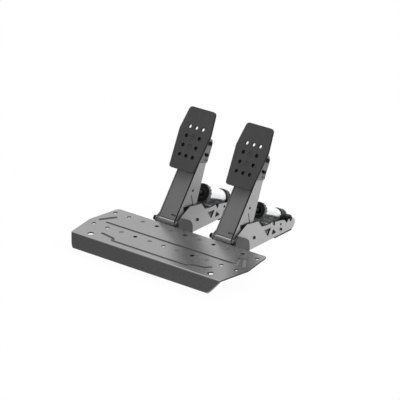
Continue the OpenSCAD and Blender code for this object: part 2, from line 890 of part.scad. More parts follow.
// Coil spring of the throttle: a six-sided wire swept along a helix.
module throttle_spring() {
    wire_r = 1;
    mean_r = 7.6;
    from = seat_at + seat_len + wire_r + 0.1;
    to = cap_at - wire_r - 0.1;
    per_turn = 12;
    count = spring_coils * per_turn;
    sides = 6;
    rings = [for (i = [0:count]) let (t = i * 360 / per_turn, z = from + (to - from) * i / count)
        [for (k = [0:sides - 1]) let (a = k * 360 / sides)
            let (out = mean_r + wire_r * cos(a))
            [out * cos(t), out * sin(t), z + wire_r * sin(a)]]];
    walls = [for (i = [0:count - 1], k = [0:sides - 1]) let (m = (k + 1) % sides)
        each [[i * sides + k, (i + 1) * sides + k, (i + 1) * sides + m],
            [i * sides + k, (i + 1) * sides + m, i * sides + m]]];
    start = [for (k = [0:sides - 1]) k];
    finish = [for (k = [sides - 1:-1:0]) count * sides + k];
    color([0.6, 0.6, 0.62])
        translate([throttle_x, 0, 0])
            cylinder_frame()
                polyhedron(points = [for (r = rings) each r], faces = concat(walls, [start, finish]));
}

heel_plate();
heel_plate_legs();
heel_plate_feet();
plate_screws();
plate_nuts();

side_plate(brake_x + inner_w);  // brake_right_side_plate
side_plate(brake_x - half_w);  // brake_left_side_plate
base_plate(brake_x);  // brake_base_plate
module_feet(brake_x);  // brake_feet
cross_ties(brake_x);  // brake_cross_ties
pivot_bushes(brake_x);  // brake_pivot_bushes
rear_pin(brake_x);  // brake_rear_pin
sensor_cover(brake_x);  // brake_sensor_cover
sensor_board(brake_x);  // brake_sensor_board
signal_socket(brake_x);  // brake_signal_socket
arm(brake_x);  // brake_arm
stop_block(brake_x);  // brake_stop_block
pivot_sleeve(brake_x);  // brake_pivot_sleeve
pivot_shaft(brake_x);  // brake_pivot_shaft
magnet(brake_x);  // brake_magnet
pad_bracket(brake_x);  // brake_pad_bracket
bracket_screws(brake_x);  // brake_bracket_screws
pad(brake_x);  // brake_pad
pad_screws(brake_x);  // brake_pad_screws
rod_pin(brake_x);  // brake_rod_pin
rod(brake_x, true);  // brake_rod
piston(brake_x, brake_tube_r);  // brake_piston
cylinder_tube(brake_x, brake_tube_r);  // brake_cylinder_tube
front_gland(brake_x, brake_tube_r, 5);  // brake_front_gland
rear_cap(brake_x, brake_tube_r, brake_cap);  // brake_rear_cap
preload_collar(brake_x, brake_tube_r, brake_collar_r);  // brake_preload_collar
brake_elastomers();

side_plate(throttle_x + inner_w);  // throttle_right_side_plate
side_plate(throttle_x - half_w);  // throttle_left_side_plate
base_plate(throttle_x);  // throttle_base_plate
module_feet(throttle_x);  // throttle_feet
cross_ties(throttle_x);  // throttle_cross_ties
pivot_bushes(throttle_x);  // throttle_pivot_bushes
rear_pin(throttle_x);  // throttle_rear_pin
sensor_cover(throttle_x);  // throttle_sensor_cover
sensor_board(throttle_x);  // throttle_sensor_board
signal_socket(throttle_x);  // throttle_signal_socket
arm(throttle_x);  // throttle_arm
stop_block(throttle_x);  // throttle_stop_block
pivot_sleeve(throttle_x);  // throttle_pivot_sleeve
pivot_shaft(throttle_x);  // throttle_pivot_shaft
magnet(throttle_x);  // throttle_magnet
pad_bracket(throttle_x);  // throttle_pad_bracket
bracket_screws(throttle_x);  // throttle_bracket_screws
pad(throttle_x);  // throttle_pad
pad_screws(throttle_x);  // throttle_pad_screws
rod_pin(throttle_x);  // throttle_rod_pin
rod(throttle_x, false);  // throttle_rod
piston(throttle_x, throttle_tube_r);  // throttle_piston
cylinder_tube(throttle_x, throttle_tube_r);  // throttle_cylinder_tube
front_gland(throttle_x, throttle_tube_r, 6);  // throttle_front_gland
rear_cap(throttle_x, throttle_tube_r, throttle_cap);  // throttle_rear_cap
preload_collar(throttle_x, throttle_tube_r, throttle_collar_r);  // throttle_preload_collar
throttle_spring();
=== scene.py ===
"""Looks of a sim racing pedal set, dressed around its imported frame.

Sheet metal parts get softened edges and a satin powder coat, the cylinders get turned and
anodised metal, and the rubber and moulded parts their own grain. Lengths are in metres, in the
frame's own axes: X across the set, Y from the heel edge to the rear and Z up from the floor.
"""
from __future__ import annotations

import json
import logging
import math
from dataclasses import dataclass, field
from enum import Enum
from typing import Sequence, Union

import bmesh
import bpy
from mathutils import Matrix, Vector
from mathutils.bvhtree import BVHTree
from mathutils.geometry import area_tri

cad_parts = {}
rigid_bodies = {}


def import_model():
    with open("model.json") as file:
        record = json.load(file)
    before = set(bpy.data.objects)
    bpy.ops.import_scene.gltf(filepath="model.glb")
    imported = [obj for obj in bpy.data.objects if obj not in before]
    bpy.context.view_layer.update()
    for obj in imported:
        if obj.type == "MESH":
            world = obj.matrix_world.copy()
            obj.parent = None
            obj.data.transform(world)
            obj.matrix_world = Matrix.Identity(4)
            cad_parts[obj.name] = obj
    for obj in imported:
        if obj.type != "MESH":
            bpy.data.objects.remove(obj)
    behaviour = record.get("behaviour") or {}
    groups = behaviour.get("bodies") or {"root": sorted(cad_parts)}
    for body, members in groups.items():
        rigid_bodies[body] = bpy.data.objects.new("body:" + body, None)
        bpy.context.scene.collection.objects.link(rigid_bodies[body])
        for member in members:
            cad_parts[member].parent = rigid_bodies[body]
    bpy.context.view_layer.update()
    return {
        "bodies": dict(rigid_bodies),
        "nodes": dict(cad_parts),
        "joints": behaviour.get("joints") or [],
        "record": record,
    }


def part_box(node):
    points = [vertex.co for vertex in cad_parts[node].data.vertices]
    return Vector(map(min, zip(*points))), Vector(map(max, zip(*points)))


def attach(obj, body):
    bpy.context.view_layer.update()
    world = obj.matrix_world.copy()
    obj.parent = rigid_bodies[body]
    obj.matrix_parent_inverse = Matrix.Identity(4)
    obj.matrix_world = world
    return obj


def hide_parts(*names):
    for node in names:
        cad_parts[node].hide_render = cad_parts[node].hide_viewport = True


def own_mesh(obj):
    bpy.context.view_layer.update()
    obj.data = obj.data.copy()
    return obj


LOG = logging.getLogger("pedal_set")
MM = 0.001

# The cylinders' axis, from the rod pin down to the rear pin.
CYLINDER_AXIS = Vector((0.0, 126.5, -64.5)).normalized()
# Share of their length that the brake's blocks and the throttle's spring keep at full travel.
BLOCKS_KEEP = 0.768
SPRING_KEEP = 0.564
# Thickness of the folded sheets, and of the pads.
SHEET = 3.0 * MM
PAD_SHEET = 4.5 * MM
# Width of the rounded edge on a folded sheet.
SHEET_EDGE = 0.3 * MM

# How a node's mesh is cleaned, which of its edges are rounded, and which are shaded smooth.
WELD = 0.001 * MM
WELD_ROUNDED = 0.002 * MM
FLAT_ANGLE = math.radians(0.4)
ROUNDED_ANGLE = math.radians(35)
SMOOTH_ANGLE = math.radians(50)

# Places of a piece's materials: its faces, its cut edges or ends, and the plate's pressed lines.
FACES, EDGES, LINES = range(3)

Colour = tuple[float, float, float]
Number = Union[float, "Signal"]


class Signal:
    """A shader value whose arithmetic adds Math nodes to its graph."""

    def __init__(self, graph: Graph, socket: bpy.types.NodeSocket) -> None:
        """Wrap one output socket of a graph."""
        self.graph = graph
        self.socket = socket

    def _math(self, operation: str, *values: Number, clamp: bool = False) -> Signal:
        """Add one Math node.

        Args:
            operation: Math node operation.
            values: operands, in order.
            clamp: whether the result is kept from 0 to 1.

        Returns:
            The node's result.
        """
        settings = {"operation": operation, "use_clamp": clamp}
        return self.graph.node("ShaderNodeMath", settings, dict(enumerate(values)))

    def __add__(self, other: Number) -> Signal:
        """Sum."""
        return self._math("ADD", self, other)

    __radd__ = __add__

    def __sub__(self, other: Number) -> Signal:
        """Difference."""
        return self._math("SUBTRACT", self, other)

    def __rsub__(self, other: Number) -> Signal:
        """Difference from a number."""
        return self._math("SUBTRACT", other, self)

    def __mul__(self, other: Number) -> Signal:
        """Product."""
        return self._math("MULTIPLY", self, other)

    __rmul__ = __mul__

    def sine(self) -> Signal:
        """Sine of the value in radians."""
        return self._math("SINE", self)

    def larger(self, other: Number) -> Signal:
        """Larger of the two values."""
        return self._math("MAXIMUM", self, other)

    def limited(self) -> Signal:
        """Value kept from 0 to 1."""
        return self._math("ADD", self, 0.0, clamp=True)

    def between(self, low: float, high: float) -> Signal:
        """Smooth step.

        Args:
            low: value at which the step starts.
            high: value at which it ends.

        Returns:
            0 below low and 1 above high.
        """
        settings = {"interpolation_type": "SMOOTHSTEP"}
        inputs = {0: self, 1: low, 2: high, 3: 0.0, 4: 1.0}
        return self.graph.node("ShaderNodeMapRange", settings, inputs)


class Graph:
    """The node tree of one material or of the world."""

    def __init__(self, tree: bpy.types.NodeTree) -> None:
        """Start an empty tree."""
        self.tree = tree
        tree.nodes.clear()

    def node(self, kind: str, settings: dict | None = None, inputs: dict | None = None,
             output: int | str = 0) -> Signal:
        """Add one node.

        Args:
            kind: Blender's name of the node type.
            settings: properties that are set first.
            inputs: values or links by socket name or number.
            output: which output is returned.

        Returns:
            The chosen output as a Signal.
        """
        made = self.tree.nodes.new(kind)
        for name, value in (settings or {}).items():
            setattr(made, name, value)
        for name, value in (inputs or {}).items():
            socket = made.inputs[name]
            if isinstance(value, Signal):
                self.tree.links.new(value.socket, socket)
            elif isinstance(value, tuple) and len(value) == 3 and socket.type == "RGBA":
                socket.default_value = (*value, 1.0)
            else:
                socket.default_value = value
        return Signal(self, made.outputs[output] if made.outputs else None)

    def place(self) -> Signal:
        """Point of the surface in the frame's axes, in metres."""
        return self.node("ShaderNodeTexCoord", output="Object")

    def along(self, vector: Signal, axis: Sequence[float]) -> Signal:
        """Length of a vector along an axis.

        Args:
            vector: the vector.
            axis: the axis, of length 1.

        Returns:
            The length, below 0 against the axis.
        """
        settings = {"operation": "DOT_PRODUCT"}
        inputs = {0: vector, 1: tuple(axis)}
        return self.node("ShaderNodeVectorMath", settings, inputs, output="Value")

    def noise(self, vector: Signal, scale: float, detail: float = 2.0,
              roughness: float = 0.5) -> Signal:
        """Noise from 0 to 1.

        Args:
            vector: place in metres.
            scale: waves per metre.
            detail: octaves.
            roughness: weight of the finer octaves.

        Returns:
            The noise value.
        """
        inputs = {"Vector": vector, "Scale": scale, "Detail": detail, "Roughness": roughness}
        return self.node("ShaderNodeTexNoise", None, inputs)

    def rings(self, along: Signal, wobble: Signal | None, lines: float) -> Signal:
        """Waves along an axis, as a lathe leaves them.

        Args:
            along: place along the axis, in metres.
            wobble: what shifts the waves, in radians.
            lines: radians per metre.

        Returns:
            The waves, from 0 to 1.
        """
        turned = along * lines
        if wobble is not None:
            turned = turned + wobble
        return turned.sine() * 0.5 + 0.5

    def mix(self, amount: Number, first: Union[Colour, Signal],
            second: Union[Colour, Signal]) -> Signal:
        """Colour between two colours.

        Args:
            amount: 0 for the first and 1 for the second.
            first: colour at 0.
            second: colour at 1.

        Returns:
            The mixed colour.
        """
        settings = {"data_type": "RGBA"}
        return self.node("ShaderNodeMix", settings, {0: amount, 6: first, 7: second}, output=2)

    def bump(self, height: Signal, depth: float) -> Signal:
        """Normal of a surface with small relief.

        Args:
            height: relief from 0 to 1.
            depth: depth of the relief in metres.

        Returns:
            The normal.
        """
        inputs = {"Strength": 1.0, "Distance": depth, "Height": height}
        return self.node("ShaderNodeBump", None, inputs)


def paled(colour: Colour, factor: float) -> Colour:
    """Scale a colour.

    Args:
        colour: the colour.
        factor: below 1 for a darker colour.

    Returns:
        The colour with each channel scaled, up to 1.
    """
    return tuple(min(1.0, channel * factor) for channel in colour)


@dataclass(frozen=True)
class Finish:
    """A surface finish: its own numbers, and the shader that they make.

    Attributes:
        name: name of the material.
        colour: base colour, before what varies over the surface.
        roughness: middle roughness.
        metallic: share of metal in the reflection.
        specular: strength of the reflection where it isn't metal.
    """

    name: str
    colour: Colour
    roughness: float = 0.5
    metallic: float = 0.0
    specular: float = 0.5

    def surface(self, graph: Graph) -> dict[str, Signal]:
        """Links that vary over the surface.

        Args:
            graph: the material's graph.

        Returns:
            The links, by socket name of the shader.
        """
        raise NotImplementedError

    def material(self) -> bpy.types.Material:
        """Build the material.

        Returns:
            The finished material.
        """
        made = bpy.data.materials.new(self.name)
        made.use_nodes = True
        graph = Graph(made.node_tree)
        inputs = {"Metallic": self.metallic, "Specular IOR Level": self.specular}
        inputs.update(self.surface(graph))
        shader = graph.node("ShaderNodeBsdfPrincipled", None, inputs)
        graph.node("ShaderNodeOutputMaterial", None, {"Surface": shader})
        return made


@dataclass(frozen=True)
class PowderCoat(Finish):
    """Baked powder coat over sheet steel: orange peel, fine speckle and a faint uneven gloss.

    Attributes:
        peel: depth of the orange peel in metres.
        peel_waves: its waves per metre.
        speckle: how far the colour goes darker and lighter.
        tone_from: noise at which the colour is darkest.
        tone_to: noise at which the colour is lightest.
        fine_ratio: waves of the speckle to one wave of the peel.
        fine_tone: part of the speckle in the colour.
        fine_gloss: part of the speckle in the roughness.
        cloud_waves: waves per metre of the broad unevenness.
        cloud_gloss: its part in the roughness.
    """

    peel: float = 0.02 * MM
    peel_waves: float = 700.0
    speckle: float = 0.1
    tone_from: float = 0.25
    tone_to: float = 0.75
    fine_ratio: float = 4.5
    fine_tone: float = 0.8
    fine_gloss: float = 0.06
    cloud_waves: float = 14.0
    cloud_gloss: float = 0.10

    def surface(self, graph: Graph) -> dict[str, Signal]:
        """Links of the coat's colour, gloss and relief."""
        place = graph.place()
        peel = graph.noise(place, self.peel_waves)
        fine = graph.noise(place, self.peel_waves * self.fine_ratio, detail=1.0) - 0.5
        cloud = graph.noise(place, self.cloud_waves, detail=3.0)
        dark, light = paled(self.colour, 1 - self.speckle), paled(self.colour, 1 + self.speckle)
        tone = fine * self.fine_tone + cloud
        gloss = (cloud - 0.5) * self.cloud_gloss + fine * self.fine_gloss + self.roughness
        return {
            "Base Color": graph.mix(tone.between(self.tone_from, self.tone_to), dark, light),
            "Roughness": gloss.limited(),
            "Normal": graph.bump(peel, self.peel),
        }


@dataclass(frozen=True)
class PressedLine(PowderCoat):
    """Painted shade on the floor of a pressed line, with a painted highlight towards high X.

    Attributes:
        highlight: colour of the painted highlight.
        highlight_from: X at which the painted highlight starts.
        highlight_to: X from which the painted highlight is full.
    """

    worn: Colour = (0.16, 0.16, 0.16)
    highlight_from: float = 143.0 * MM
    highlight_to: float = 156.0 * MM

    def surface(self, graph: Graph) -> dict[str, Signal]:
        """Links of the coat, with the painted highlight along the plate."""
        links = super().surface(graph)
        across = graph.along(graph.place(), (1.0, 0.0, 0.0))
        amount = across.between(self.highlight_from, self.highlight_to)
        links["Base Color"] = graph.mix(amount, links["Base Color"], self.worn)
        return links


@dataclass(frozen=True)
class Anodised(Finish):
    """Blackened metal with a faint turned grain, rubbed paler in places.

    Attributes:
        axis: axis that the grain was turned about.
        lines: radians of the grain per metre along the axis.
        depth: depth of the grain in metres.
        wobble_waves: waves per metre of what shifts the grain.
        wobble: how far it shifts, in radians.
        cloud_waves: waves per metre of the rubbed places.
        cloud_gloss: their part in the roughness.
        rubbed: how much paler the colour gets.
        rubbed_from: noise at which the rubbing starts.
        rubbed_to: noise at which it is full.
        rubbed_share: share of the paler colour there.
    """

    axis: tuple[float, float, float] = (1.0, 0.0, 0.0)
    lines: float = 2200.0
    depth: float = 0.006 * MM
    wobble_waves: float = 90.0
    wobble: float = 2.0
    cloud_waves: float = 60.0
    cloud_gloss: float = 0.12
    rubbed: float = 1.6
    rubbed_from: float = 0.45
    rubbed_to: float = 0.8
    rubbed_share: float = 0.5

    def surface(self, graph: Graph) -> dict[str, Signal]:
        """Links of the rubbed tone, the gloss and the turned grain."""
        place = graph.place()
        wobble = graph.noise(place, self.wobble_waves) * self.wobble
        rings = graph.rings(graph.along(place, self.axis), wobble, self.lines)
        cloud = graph.noise(place, self.cloud_waves)
        amount = cloud.between(self.rubbed_from, self.rubbed_to) * self.rubbed_share
        return {
            "Base Color": graph.mix(amount, self.colour, paled(self.colour, self.rubbed)),
            "Roughness": ((cloud - 0.5) * self.cloud_gloss + self.roughness).limited(),
            "Normal": graph.bump(rings, self.depth),
        }


@dataclass(frozen=True)
class TurnedMetal(Finish):
    """Bright metal off the lathe: fine rings round its axis, among broad ones.

    Attributes:
        axis: axis that the piece was turned about.
        lines: radians of the fine rings per metre along the axis.
        depth: depth of the fine rings in metres.
        wobble_waves: waves per metre of what shifts the fine rings.
        broad_ratio: fine rings to one broad ring.
        fine_tone: part of the fine rings in the colour.
        broad_tone: part of the broad rings in the colour.
        fine_gloss: part of the fine rings in the roughness.
        broad_gloss: part of the broad rings in the roughness.
        groove: how much darker the colour is in a ring.
    """

    axis: tuple[float, float, float] = (1.0, 0.0, 0.0)
    lines: float = 3600.0
    depth: float = 0.004 * MM
    wobble_waves: float = 40.0
    broad_ratio: float = 9.0
    fine_tone: float = 0.35
    broad_tone: float = 0.2
    fine_gloss: float = 0.06
    broad_gloss: float = 0.04
    groove: float = 0.86

    def surface(self, graph: Graph) -> dict[str, Signal]:
        """Links of the rings' tone, gloss and relief."""
        place = graph.place()
        along = graph.along(place, self.axis)
        rings = graph.rings(along, graph.noise(place, self.wobble_waves), self.lines)
        broad = graph.rings(along, None, self.lines / self.broad_ratio)
        amount = rings * self.fine_tone + broad * self.broad_tone
        gloss = rings * self.fine_gloss + broad * self.broad_gloss + self.roughness
        return {
            "Base Color": graph.mix(amount, self.colour, paled(self.colour, self.groove)),
            "Roughness": gloss.limited(),
            "Normal": graph.bump(rings, self.depth),
        }


@dataclass(frozen=True)
class Moulded(Finish):
    """Moulded plastic or rubber with a spark-eroded grain.

    Attributes:
        grain: depth of the grain in metres.
        waves: its waves per metre.
        fineness: weight of its finer octaves.
        grain_gloss: its part in the roughness.
        cloud_waves: waves per metre of the mottled tone.
        mottle: how far the colour goes darker and lighter.
        mottle_from: noise at which the colour is darkest.
        mottle_to: noise at which the colour is lightest.
    """

    grain: float = 0.03 * MM
    waves: float = 1500.0
    fineness: float = 0.6
    grain_gloss: float = 0.2
    cloud_waves: float = 25.0
    mottle: float = 0.15
    mottle_from: float = 0.3
    mottle_to: float = 0.7

    def surface(self, graph: Graph) -> dict[str, Signal]:
        """Links of the mottled tone, the uneven sheen and the grain."""
        place = graph.place()
        grain = graph.noise(place, self.waves, detail=3.0, roughness=self.fineness)
        cloud = graph.noise(place, self.cloud_waves)
        dark, light = paled(self.colour, 1 - self.mottle), paled(self.colour, 1 + self.mottle)
        return {
            "Base Color": graph.mix(
                cloud.between(self.mottle_from, self.mottle_to), dark, light),
            "Roughness": ((grain - 0.5) * self.grain_gloss + self.roughness).limited(),
            "Normal": graph.bump(grain, self.grain),
        }


class Look(Enum):
    """Every finish on the set: name, colour, roughness, metallic, specular and its own numbers."""

    # Painted shade: near-black cut edges and hole walls stand for the shade and shadow lines
    # there.
    RIM = PowderCoat("cut_edge_shade", (0.014, 0.014, 0.015), 0.55, 0.0, 0.2)
    # Painted shade in the pressed lines' floors, with a painted highlight towards high X.
    LINE = PressedLine("pressed_line_shade_and_highlight", (0.05, 0.05, 0.05), 0.5, 0.3, 0.4)
    PLATE_SCREW = PowderCoat("plate_screw_coat", (0.17, 0.17, 0.172), 0.4, 0.7, speckle=0.05)
    PLATE = PowderCoat(
        "plate_coat", (0.25, 0.25, 0.253), 0.25, 0.9, peel=0.01 * MM, speckle=0.03)
    ARM = PowderCoat("arm_coat", (0.35, 0.35, 0.355), 0.42, 0.6, speckle=0.06)
    MODULE = PowderCoat("module_coat", (0.388, 0.388, 0.393), 0.45, 0.5, speckle=0.06)
    PAD = PowderCoat(
        "pad_coat", (0.076, 0.076, 0.078), 0.5, peel=0.05 * MM, peel_waves=1400.0)
    # Painted shade: near-black pad edges and hole walls stand for the shade in them.
    PAD_RIM = PowderCoat("pad_edge_shade", (0.01, 0.01, 0.0105), 0.5, 0.0, 0.12)
    BRACKET = PowderCoat("bracket_coat", (0.155, 0.155, 0.157), 0.45, 0.5, speckle=0.06)
    DARK = PowderCoat("dark_coat", (0.035, 0.035, 0.037), 0.5)
    SCREW = Anodised("black_oxide", (0.01, 0.01, 0.011), 0.5, 0.0, 0.12)
    BLACK = Anodised(
        "black_anodised", (0.016, 0.016, 0.017), 0.42, 0.0, 0.3, axis=tuple(CYLINDER_AXIS))
    # Painted light: a lit copy of the anodised metal for the collar's outside.
    GRIP = Anodised("collar_lit_side", (0.1, 0.1, 0.102), 0.38, 0.3, axis=tuple(CYLINDER_AXIS))
    TUBE = TurnedMetal("turned_tube", (0.86, 0.87, 0.88), 0.22, 1.0, axis=tuple(CYLINDER_AXIS))
    ROD = TurnedMetal(
        "polished_rod", (0.8, 0.81, 0.83), 0.2, 1.0, axis=tuple(CYLINDER_AXIS), depth=0.001 * MM)
    STEEL = TurnedMetal("plain_steel", (0.5, 0.5, 0.52), 0.3, 1.0)
    SLEEVE = PowderCoat("sleeve_coat", (0.45, 0.45, 0.455), 0.3, 0.7)
    BRONZE = TurnedMetal("sintered_bronze", (0.12, 0.1, 0.07), 0.5, 0.6)
    COVER = Moulded("cover_plastic", (0.042, 0.042, 0.044), 0.42)
    BOARD = Moulded("board_lacquer", (0.02, 0.12, 0.05), 0.3, grain=0.01 * MM)
    RUBBER = Moulded(
        "foot_rubber", (0.022, 0.022, 0.022), 0.75, 0.0, 0.3, grain=0.06 * MM, waves=900.0)
    ELASTOMER = Moulded("elastomer", (0.35, 0.04, 0.03), 0.5)


class Paint:
    """Hands out each finish's material, made once."""

    def __init__(self) -> None:
        """Start with no materials."""
        self.made: dict[Look, bpy.types.Material] = {}

    def get(self, look: Look) -> bpy.types.Material:
        """Material of a finish.

        Args:
            look: the finish.

        Returns:
            Its material.
        """
        if look not in self.made:
            self.made[look] = look.value.material()
        return self.made[look]


@dataclass
class Pressed:
    """How a soft part in a cylinder gives way: numbers that nothing here applies.

    Attributes:
        joint: joint that presses it; not used.
        keep: share of its length that is left at the joint's limit; not used.
    """

    joint: str
    keep: float


@dataclass
class Part:
    """What dresses one node.

    Attributes:
        look: its finish.
        slot: its material slot in the record; not used.
        edge: width of its rounded edges, or 0 to coat the node as it is.
        steps: segments across a rounded edge.
        sheet: thickness of a sheet whose cut edges get the second finish.
        rim: the second finish: painted shade on cut and rounded edges, a painted lit copy
            on a grip, or screw black at a tie's ends.
        ends: length of both ends that get the second finish, on a piece that lies along X.
        unshaded_side: whether the flange at the low X end keeps the first finish on its edges,
        free of painted shade.
        grip: whether the outside of a turned piece gets the second finish, a painted lit copy.
        pressed: how the part gives way, if it is soft; here it only gets a mesh of its own.
    """

    look: Look
    slot: str
    edge: float = 0.0
    steps: int = 2
    sheet: float = 0.0
    rim: Look | None = None
    ends: float = 0.0
    unshaded_side: bool = False
    grip: bool = False
    pressed: Pressed | None = None


def folded(look: Look, slot: str, unshaded_side: bool = False) -> Part:
    """Part that is folded or cut from sheet steel, with painted shade on its cut edges.

    Args:
        look: finish of its faces.
        slot: its material slot in the record.
        unshaded_side: whether the flange at the low X end has no painted shade on its edges.

    Returns:
        The part.
    """
    return Part(look, slot, SHEET_EDGE, sheet=SHEET, rim=Look.RIM, unshaded_side=unshaded_side)


class Workshop:
    """Makes and dresses the pieces of the set."""

    # Metal behind a cut edge is deeper than this many sheets, seen from just inside its face.
    rim_depth: float = 1.6
    rim_start: float = 0.01 * MM
    # A grip's faces turn from the axis and lie past this share of the piece's radius.
    grip_tilt: float = 0.3
    grip_reach: float = 0.75

    def __init__(self, frame: dict, paint: Paint) -> None:
        """Keep the frame's nodes and the paints."""
        self.nodes = frame["nodes"]
        self.paint = paint

    def dress(self, node: str, part: Part, body: str) -> None:
        """Finish one node: coat it as it is, or put a softened copy in its place.

        Args:
            node: name of the node.
            part: finish and edge of the node.
            body: body that a replacing copy moves with.
        """
        if part.edge == 0.0:
            for slot in self.nodes[node].material_slots:
                slot.material = self.paint.get(part.look)
            LOG.info("coated %s as %s", node, part.look.value.name)
            return
        self.softened(node, part, body)
        LOG.info("softened %s by %.1f mm", node, part.edge / MM)

    def softened(self, node: str, part: Part, body: str) -> bpy.types.Object:
        """Put a copy of a node in its place, with its sharp edges rounded.

        Args:
            node: name of the node.
            part: its finishes, the width of the rounded edge, and how it is pressed.
            body: body that the copy moves with.

        Returns:
            The new object.
        """
        mesh = self._rounded(node, part)
        piece = bpy.data.objects.new(f"{node}_soft", mesh)
        bpy.context.scene.collection.objects.link(piece)
        mesh.shade_smooth()
        mesh.set_sharp_from_angle(angle=SMOOTH_ANGLE)
        weighted = piece.modifiers.new("even_shading", "WEIGHTED_NORMAL")
        weighted.keep_sharp = True
        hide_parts(node)
        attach(piece, body)
        if part.pressed is not None:
            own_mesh(piece)
        return piece

    def _rounded(self, node: str, part: Part) -> bpy.types.Mesh:
        """Copy a node's mesh, mark where its second finish goes, and round its sharp edges.

        Args:
            node: name of the node.
            part: its finishes and the width of the rounded edge.

        Returns:
            The new mesh, with its materials.
        """
        mesh = bpy.data.meshes.new(f"{node}_soft")
        work = bmesh.new()
        work.from_mesh(self.nodes[node].data)
        bmesh.ops.remove_doubles(work, verts=work.verts, dist=WELD)
        bmesh.ops.dissolve_limit(
            work, angle_limit=FLAT_ANGLE, verts=work.verts, edges=work.edges)
        for face in work.faces:
            face.material_index = FACES
        if part.sheet > 0.0:
            self._mark_rims(work, part.sheet, part.unshaded_side)
        if part.ends > 0.0:
            self._mark_ends(work, part.ends)
        if part.grip:
            self._mark_grip(work)
        sharp = [edge for edge in work.edges
                 if edge.is_manifold and edge.calc_face_angle(0.0) > ROUNDED_ANGLE]
        # Rounded edges take the second material too: painted shade on sheets, the lit copy on a
        # grip.
        bmesh.ops.bevel(
            work, geom=sharp, offset=part.edge, segments=part.steps, profile=0.5,
            affect="EDGES", clamp_overlap=False, material=-1 if part.rim is None else EDGES)
        bmesh.ops.remove_doubles(work, verts=work.verts, dist=WELD_ROUNDED)
        mesh.materials.append(self.paint.get(part.look))
        if part.rim is not None:
            mesh.materials.append(self.paint.get(part.rim))
        work.to_mesh(mesh)
        work.free()
        return mesh

    def _mark_rims(self, work: bmesh.types.BMesh, sheet: float, unshaded_side: bool) -> None:
        """Give a sheet's cut edges their painted shade: the metal behind them is deep.

        Args:
            work: mesh of the sheet.
            sheet: thickness of the sheet.
            unshaded_side: whether the low X flange keeps the first material, free of painted
                shade.
        """
        low = min(vertex.co.x for vertex in work.verts)
        shaded_from = low + sheet if unshaded_side else -math.inf
        work.faces.index_update()
        tree = BVHTree.FromBMesh(work)
        widest: dict[int, tuple[float, Vector]] = {}
        for loops in work.calc_loop_triangles():
            corners = [loop.vert.co for loop in loops]
            area = area_tri(*corners)
            number = loops[0].face.index
            if number not in widest or area > widest[number][0]:
                widest[number] = (area, sum(corners, Vector()) / 3.0)
        for face in work.faces:
            start = widest[face.index][1] - face.normal * self.rim_start
            depth = tree.ray_cast(start, -face.normal)[3]
            deep = depth is None or depth > self.rim_depth * sheet
            # Cut edges past the unshaded flange take the painted shade.
            if deep and face.calc_center_median().x > shaded_from:
                face.material_index = EDGES

    @staticmethod
    def _mark_ends(work: bmesh.types.BMesh, length: float) -> None:
        """Give both ends of a piece that lies along X its second material.

        Args:
            work: mesh of the piece.
            length: length of each end.
        """
        places = [vertex.co.x for vertex in work.verts]
        low, high = min(places) + length, max(places) - length
        for face in work.faces:
            if not low < face.calc_center_median().x < high:
                face.material_index = EDGES

    def _mark_grip(self, work: bmesh.types.BMesh) -> None:
        """Give the outside of a piece turned about the cylinder's axis its painted lit copy.

        Args:
            work: mesh of the piece.
        """
        middle = sum((vertex.co for vertex in work.verts), Vector()) / len(work.verts)

        def off_axis(point: Vector) -> float:
            """Distance of a point from the piece's own axis."""
            return (point - middle).cross(CYLINDER_AXIS).length

        reach = max(off_axis(vertex.co) for vertex in work.verts)
        for face in work.faces:
            sideways = abs(face.normal.dot(CYLINDER_AXIS)) < self.grip_tilt
            if sideways and off_axis(face.calc_center_median()) > self.grip_reach * reach:
                face.material_index = EDGES


@dataclass
class HeelPlate:
    """The folded heel plate with its legs, feet, screws and nuts.

    Attributes:
        body: body that all of it moves with.
        line_depth: depth of the pressed lines.
        level: least upward part of a face's normal in the floor of a line.
        plate: what dresses the plate.
        parts: what dresses the other nodes, by name.
    """

    body: str = "frame"
    line_depth: float = 0.6 * MM
    level: float = 0.99
    # The plate's cut edges and hole walls get painted shade.
    plate: Part = field(default_factory=lambda: Part(
        Look.PLATE, "plate_paint", 0.28 * MM, sheet=SHEET, rim=Look.RIM))
    parts: dict[str, Part] = field(default_factory=lambda: {
        "heel_plate_legs": Part(Look.DARK, "dark_paint"),
        "heel_plate_feet": Part(Look.RUBBER, "foot_rubber", 0.6 * MM),
        "plate_screws": Part(Look.PLATE_SCREW, "plate_screw_coat"),
        "plate_nuts": Part(Look.STEEL, "plain_steel"),
    })

    def build(self, shop: Workshop) -> None:
        """Dress every part of the heel plate."""
        plate = shop.softened("heel_plate", self.plate, self.body)
        # Third material: painted shade and highlight in the pressed lines.
        plate.data.materials.append(shop.paint.get(Look.LINE))
        self._mark_lines(plate.data)
        LOG.info("dressed the heel plate")
        for node, part in self.parts.items():
            shop.dress(node, part, self.body)

    def _mark_lines(self, mesh: bpy.types.Mesh) -> None:
        """Give the floors of the pressed lines the plate's painted shade and highlight.

        Args:
            mesh: mesh of the plate.
        """
        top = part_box("heel_plate")[1][2]
        for polygon in mesh.polygons:
            sunk = (top - polygon.center.z) / self.line_depth
            if polygon.normal.z > self.level and 0.5 < sunk < 1.5:
                polygon.material_index = LINES


class Side(Enum):
    """Which pedal a module is."""

    BRAKE = "brake"
    THROTTLE = "throttle"


